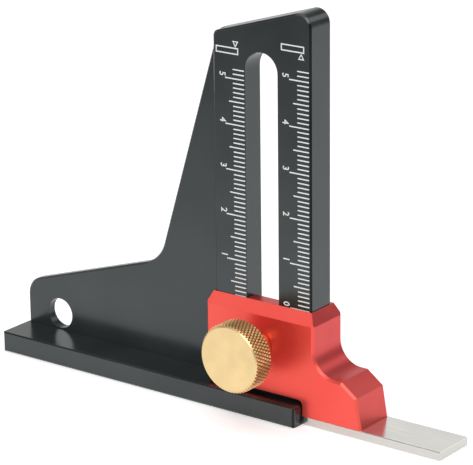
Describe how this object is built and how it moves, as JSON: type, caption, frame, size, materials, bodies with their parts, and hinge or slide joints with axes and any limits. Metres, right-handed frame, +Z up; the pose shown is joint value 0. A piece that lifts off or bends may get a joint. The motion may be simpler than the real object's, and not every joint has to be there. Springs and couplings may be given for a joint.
{
  "type": "table saw height gauge",
  "caption": "Height gauge on a long foot: a slotted upright with printed centimetre scales, a slider with a flat gauge bar, and a knurled clamping knob.",
  "frame": {"origin": "on the table, under the middle of the column's width, in the plane of the column's scale face", "axes": "+X along the base towards the gauge bar, +Y from the scale face to the back, +Z up from the table"},
  "size_m": [0.117, 0.0218, 0.0895],
  "materials": {
    "black_anodised": "black anodised, semi-gloss",
    "red_anodised": "red anodised, satin",
    "bar_steel": "fine brushed along the bar",
    "knob_brass": "turned face, diamond knurled rim",
    "screw_steel": "plain",
    "stud_steel": "plain"
  },
  "bodies": {
    "frame": {"base_rail": "black_anodised", "upright": "black_anodised", "base_screw_tail": "screw_steel", "base_screw_bar": "screw_steel"},
    "slider": {"slider_block": "red_anodised", "gauge_bar": "bar_steel", "bar_screw_inner": "screw_steel", "bar_screw_outer": "screw_steel"},
    "knob": {"lock_knob": "knob_brass", "knob_stud": "stud_steel"},
    "nut": {"clamp_nut": "stud_steel"}
  },
  "joints": [
    {"name": "height_slide", "type": "slide", "parent": "frame", "child": "slider", "axis": [0, 0, 1], "range_m": [0, 0.05]},
    {"name": "knob_turn", "type": "hinge", "parent": "slider", "child": "knob", "pos_m": [0, -0.0095, 0.01575], "axis": [0, -1, 0], "range_deg": [0, 360]},
    {"name": "nut_feed", "type": "slide", "parent": "slider", "child": "nut", "axis": [0, 1, 0], "range_m": [0, 0.0007]}
  ],
  "couplings": [
    {"joint": "knob_turn", "follows": "nut_feed", "rad_per_m": 8976}
  ]
}
